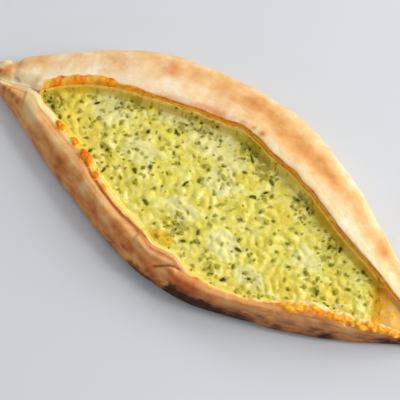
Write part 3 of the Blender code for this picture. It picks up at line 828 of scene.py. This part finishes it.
def scatterHerbs():
    draw = random.Random(11)  # the same rule and draw as in the solids
    places = []
    while len(places) < herbs["count"]:
        x, y = chancePlace(draw, 8 * mm, 5 * mm)
        clear = insideLips(x, y) > herbs["lipGap"]
        if clear and all(math.dist((x, y), place) > herbs["gap"] for place in places):
            places.append((x, y))
    bits = []
    for place in places:
        length = draw.uniform(*herbs["length"])
        width = length * draw.uniform(*herbs["slimness"])
        turn, tilt = draw.uniform(0, math.tau), draw.uniform(-0.12, 0.12)
        reaches = [draw.uniform(*herbs["reach"]) for k in range(herbs["sides"])]
        bits.append((*place, length, width, turn, tilt, reaches, "common"))
    small = random.Random(23)
    for x, y, length, width, turn in herbs["darkLeaves"]:
        reaches = [small.uniform(0.36, 0.6) for k in range(8)]
        bits.append((x * mm, y * mm, length * mm, width * mm, math.radians(turn), 0.0, reaches, "dark"))
    wanted = list(clusterPlaces(small))
    while len(wanted) < herbs["smallCount"]:
        x, y = chancePlace(small, 4 * mm, 6 * mm)
        if small.random() > 0.9 * patchShare("smoothPatches", x, y):
            wanted.append((x, y))
    for x, y in wanted:
        if insideLips(x, y) > 0.8 * mm:
            length = mix(*herbs["smallLength"], small.random()**1.5)
            reaches = [small.uniform(0.34, 0.6) for k in range(herbs["sides"])]
            bits.append((x, y, length, length * small.uniform(0.45, 0.9), small.uniform(0, math.tau),
                         small.uniform(-0.2, 0.2), reaches, "small"))
    return bits


def nearTree(places):
    tree = kdtree.KDTree(len(places))
    for i, (x, y) in enumerate(places):
        tree.insert((x, y, 0), i)
    tree.balance()
    return tree


def herbHalo(bits, tree, x, y, strengths=None):  # how close a place is to a leaf, 1 under it
    most, ragged = 0, 0.5 * speckle(x, y, 0, 1.2 * mm)
    for _, i, _ in tree.find_n((x, y, 0), 4):
        bitX, bitY, length, width, turn = bits[i][:5]
        dx, dy = x - bitX, y - bitY
        along = (dx * math.cos(turn) + dy * math.sin(turn)) / (0.5 * length + 0.25 * mm)
        aside = (dy * math.cos(turn) - dx * math.sin(turn)) / (0.5 * width + 0.25 * mm)
        near = fade(math.hypot(along, aside) + ragged, 1.7, 0.5)
        most = max(most, near * strengths[i] if strengths else near)
    return most


def sunkenHerbs():  # leaves that only tint the cheese over them, and how strongly each one does
    draw = random.Random(5)
    sunk = []
    while len(sunk) < herbs["sunkCount"]:
        x, y = chancePlace(draw, 4 * mm, 3 * mm)
        if draw.random() > 0.8 * patchShare("smoothPatches", x, y):
            length = mix(*herbs["sunkLength"], draw.random()**1.6)
            sunk.append((x, y, length, length * draw.uniform(0.35, 0.8), draw.uniform(0, math.tau)))
    for x, y in clusterPlaces(draw):
        length = draw.uniform(*herbs["clusterLength"]) * mm
        sunk.append((x, y, length, length * draw.uniform(0.3, 0.7), draw.uniform(0, math.tau)))
    scattered, clustered = herbs["sunkStrength"]
    ranges = [scattered if k < herbs["sunkCount"] else clustered for k in range(len(sunk))]
    return sunk, [draw.uniform(*ends) for ends in ranges]


def fillingRings(bits):
    sunk, strengths = sunkenHerbs()
    herbTree, sunkTree = (nearTree([leaf[:2] for leaf in leaves]) for leaves in (bits, sunk))
    leftGap, rightGap = filling["endGaps"]
    start, end = mouth["leftCorner"] + leftGap, mouth["wellRightEnd"] - rightGap
    steps = filling["topSteps"]
    floor = mouth["wellFloor"] + filling["clearance"]
    rings = []
    for x in easedSteps(start, end, filling["alongSteps"], ease=0.3):
        front, back = wellY(x, -1, -filling["overlap"]), wellY(x, 1, -filling["overlap"])
        ring = []
        for k in range(steps + 1):
            y = mix(front, back, k / steps)
            z, inside = coreZ(x, y)
            place = slanted(Vector((x, y, z)))
            shown = fade(inside, -1.5 * mm, 1 * mm)
            place.z, climb, backGap = climbed(place.x, y, z, inside)
            place.z -= filling["endDrop"] * fade(x, end - 9 * mm, end - 1 * mm)
            smooth, pale, yolk = (patchShare(key, place.x, y)
                                  for key in ("smoothPatches", "palePatches", "yolkPatches"))
            halo = herbHalo(bits, herbTree, place.x, y)
            under = herbHalo(sunk, sunkTree, place.x, y, strengths)
            relief, curd = curdRelief(place.x, y, smooth)
            rim = fade(climb, 0.72, 0.93)
            # painted shade under the back lip and at the well's right end
            shade = smoothValue(filling["backShade"], x / mm) * fade(backGap, 5.5 * mm, 1.5 * mm)
            shade = max(shade, fade(x, end - 7 * mm, end - 2 * mm)) * (1 - rim)
            values = (max(halo, under), curd, smooth, pale, yolk, rim, shade)
            ring.append((place, relief * shown * (1 - climb) * mm, values))
        hidden = (0, 0.5, 0, 0, 0, 0, 1)  # the masks where nobody looks: plain curd in full shade
        walls = [slanted(Vector((x, back, mix(ring[-1][0].z, floor, k / 3)))) for k in range(1, 4)]
        walls += [slanted(Vector((x, mix(back, front, k / 4), floor))) for k in range(1, 5)]
        walls += [slanted(Vector((x, front, mix(floor, ring[0][0].z, k / 3)))) for k in range(1, 4)]
        rings.append(ring + [(place, 0, hidden) for place in walls])
    for ring in (rings[0], rings[-1]):  # both ends close to a point
        middle = sum((entry[0] for entry in ring), Vector()) / len(ring)
        ring[:] = [(middle, 0, entry[2]) for entry in ring]
    return rings


def cheeseFinish():
    look = Finish("meltedCheese")
    fine, medium, broad = look.noise(0.8, 3, 0.65), look.noise(2.2, 3, 0.6), look.noise(7, 3, 0.55)
    # the curd mask follows the lumps' height: a painted highlight on their tops and painted shade in the pits
    tone = look.mask("curd") * 0.3 + 1.25 * (broad - 0.5) + 0.45 * (medium - 0.5) + 0.14 * (fine - 0.5) + 0.42
    colour = look.ramp(tone.clamped(), (
        (0.0, (184, 164, 34)), (0.25, (209, 191, 56)), (0.48, (227, 212, 82)),
        (0.7, (240, 228, 112)), (0.92, (250, 244, 166))))
    green = look.noise(8, 2, 0.5).step(0.46, 0.64)
    colour = look.blend(green * 0.5, colour, (206, 200, 86))
    greyed = look.broken("pale", medium, 0.5, 1.0, 0.1, 0.95)
    colour = look.blend(greyed * 0.5, colour, (234, 229, 170))
    smooth = look.broken("smooth", medium, 0.6, 0.8, 0.3, 0.8)
    smoothTint = look.ramp(medium, ((0.35, (224, 196, 52)), (0.65, (240, 222, 98))))
    colour = look.blend(smooth * 0.7, colour, smoothTint)
    yolk = look.broken("yolk", look.noise(3, 2, 0.5), 0.3, 1.4, 0.3, 0.9)
    colour = look.blend(yolk * 0.8, colour, (222, 178, 22))
    pale = look.noise(3.8, 3, 0.6).step(0.53, 0.7) * (1 - smooth)
    colour = look.blend(pale * 0.5, colour, (240, 235, 180))
    herb = look.broken("herb", medium, 0.1, 1.8, 0.2, 1.0)
    colour = look.blend(herb * 0.66, colour, (138, 128, 22))
    # painted shade, a golden ochre, under the back lip and at the well's right end
    shade = look.broken("shade", medium, 0.6, 0.8, 0.1, 0.95)
    colour = look.blend(shade * 0.88, colour, (206, 158, 0))
    rim = look.broken("rim", medium, 0.6, 0.8, 0.2, 0.7)
    rimTint = look.ramp(medium, ((0.35, (240, 172, 40)), (0.65, (253, 216, 112))))
    colour = look.blend(rim * 0.9, colour, rimTint)
    normal = look.bumped(medium, 0.4 * mm, 0.25, look.bumped(fine, 0.25 * mm, 0.25))
    rough = 0.52 + 0.3 * (fine - 0.5) + 0.1 * herb
    return look.finish(Base_Color=colour, Roughness=rough, Normal=normal, Specular_IOR_Level=0.22)


def makeFilling(bits):
    piece = wrapGrid("cheeseFilling", fillingRings(bits), cheeseMasks)
    settle(piece, cheeseFinish(), "filling", "filling")


def parsleyFinish():
    look = Finish("choppedParsley")
    fine = look.noise(0.7, 3, 0.6)
    colour = look.ramp((look.mask("tone") + 0.7 * (fine - 0.5)).clamped(), (
        (0.0, (64, 54, 4)), (0.3, (104, 94, 6)), (0.6, (142, 132, 16)), (1.0, (182, 170, 50))))
    colour = look.blend(look.mask("green").step(0.35, 0.9) * 0.6, colour, (84, 108, 24))
    normal = look.bumped(fine, 0.2 * mm, 0.6)
    return look.finish(Base_Color=colour, Roughness=0.55 + 0.2 * fine, Normal=normal, Specular_IOR_Level=0.12)


def makeHerbs(bits):
    # each bit of leaf is a thin crumpled plate, mostly sunk in the cheese
    shape = bmesh.new()
    tone, green = (shape.verts.layers.float.new(key) for key in ("tone", "green"))
    draw = random.Random(31)
    for x, y, length, width, turn, tilt, reaches, kind in bits:
        count = len(reaches)
        leaf = bmesh.ops.create_cone(shape, cap_ends=True, cap_tris=True, segments=count,
                                     radius1=0.5, radius2=0.38, depth=1)["verts"]
        shade, hue = draw.uniform(*herbs["shades"][kind]), draw.random()**2
        proud = draw.uniform(*herbs["proud"]) * mm
        lie = Euler((draw.uniform(-0.2, 0.2), tilt, turn)).to_matrix().to_4x4()
        turned = Matrix.Translation((x, y, fillingTop(x, y) + proud)) @ lie
        for vert in leaf:
            k = round(math.atan2(vert.co.x, vert.co.y) / math.tau * count) % count
            height = herbs["crumple"] * (draw.random() - 0.5) if vert.co.z > 0 else -herbs["depth"]
            along, aside = vert.co.x * length * reaches[k] * 2, vert.co.y * width * reaches[k] * 2
            vert.co = turned @ Vector((along, aside, height))
            vert[tone], vert[green] = shade, hue
    bmesh.ops.recalc_face_normals(shape, faces=shape.faces)
    settle(meshPiece("parsley", shape), parsleyFinish(), "filling")


studio = {
    "azimuth": 34,
    "elevation": 70,
    "distance": 0.8,
    "aim": (-0.003, -0.0064, 0),
    "lens": 144,
    "sensor": 36,
    "lamps": {  # azimuth from the camera's right, elevation, power, size and colour
        "windowLamp": (2, 32, 14, 1.05, (1, 0.985, 0.965)),
        "sunLamp": (-8, 48, 3.2, 0.2, (1, 0.985, 0.965)),
        "backLamp": (120, 28, 3.6, 0.45, (0.97, 0.985, 1)),
        "fillLamp": (-100, 13, 2.2, 1.2, (1, 0.98, 0.96)),
    },
    "lampDistance": 1.3,
    "sky": (0.95, 0.97, 1),
    "skyStrength": 0.38,
    "floorColour": paint(213, 217, 222),
}


def viewAxes():
    turn = math.radians(studio["azimuth"])
    return Vector((math.cos(turn), math.sin(turn), 0)), Vector((-math.sin(turn), math.cos(turn), 0))


def addLamp(name, azimuth, elevation, power, size, colour):
    right, back = viewAxes()
    around, rise = math.radians(azimuth), math.radians(elevation)
    level = right * math.cos(around) + back * math.sin(around)
    towards = level * math.cos(rise) + Vector((0, 0, math.sin(rise)))
    lamp = bpy.data.lights.new(name, "AREA")
    lamp.energy, lamp.size, lamp.color = power, size, colour
    stand = bpy.data.objects.new(name, lamp)
    bpy.context.scene.collection.objects.link(stand)
    stand.location = towards * studio["lampDistance"]
    stand.rotation_euler = towards.to_track_quat("Z", "Y").to_euler()


def makeStudio():
    floor = bmesh.new()
    bmesh.ops.create_grid(floor, x_segments=1, y_segments=1, size=3)
    ground = meshPiece("floor", floor)
    ground.location.z = -0.05 * mm
    ground.data.materials.append(Finish("paleFloor").finish(Base_Color=studio["floorColour"], Roughness=0.6))
    for name, lamp in studio["lamps"].items():
        addLamp(name, *lamp)
    world = bpy.data.worlds.new("studioSky")
    world.use_nodes = True
    sky = world.node_tree.nodes["Background"].inputs
    sky["Color"].default_value = (*studio["sky"], 1)
    sky["Strength"].default_value = studio["skyStrength"]
    bpy.context.scene.world = world
    bpy.context.scene.view_settings.view_transform = "Standard"


def makeCamera():
    right, back = viewAxes()
    rise = math.radians(studio["elevation"])
    away = Vector((0, 0, math.sin(rise))) - back * math.cos(rise)
    lens = bpy.data.cameras.new("camera")
    lens.sensor_width, lens.lens = studio["sensor"], studio["lens"]
    camera = bpy.data.objects.new("camera", lens)
    bpy.context.scene.collection.objects.link(camera)
    camera.location = Vector(studio["aim"]) + away * studio["distance"]
    camera.rotation_euler = away.to_track_quat("Z", "Y").to_euler()
    bpy.context.scene.camera = camera


bits = scatterHerbs()
makeCrust()
print("crust made")
makeFilling(bits)
makeHerbs(bits)
print("filling made")
makeStudio()
makeCamera()
print("studio made")
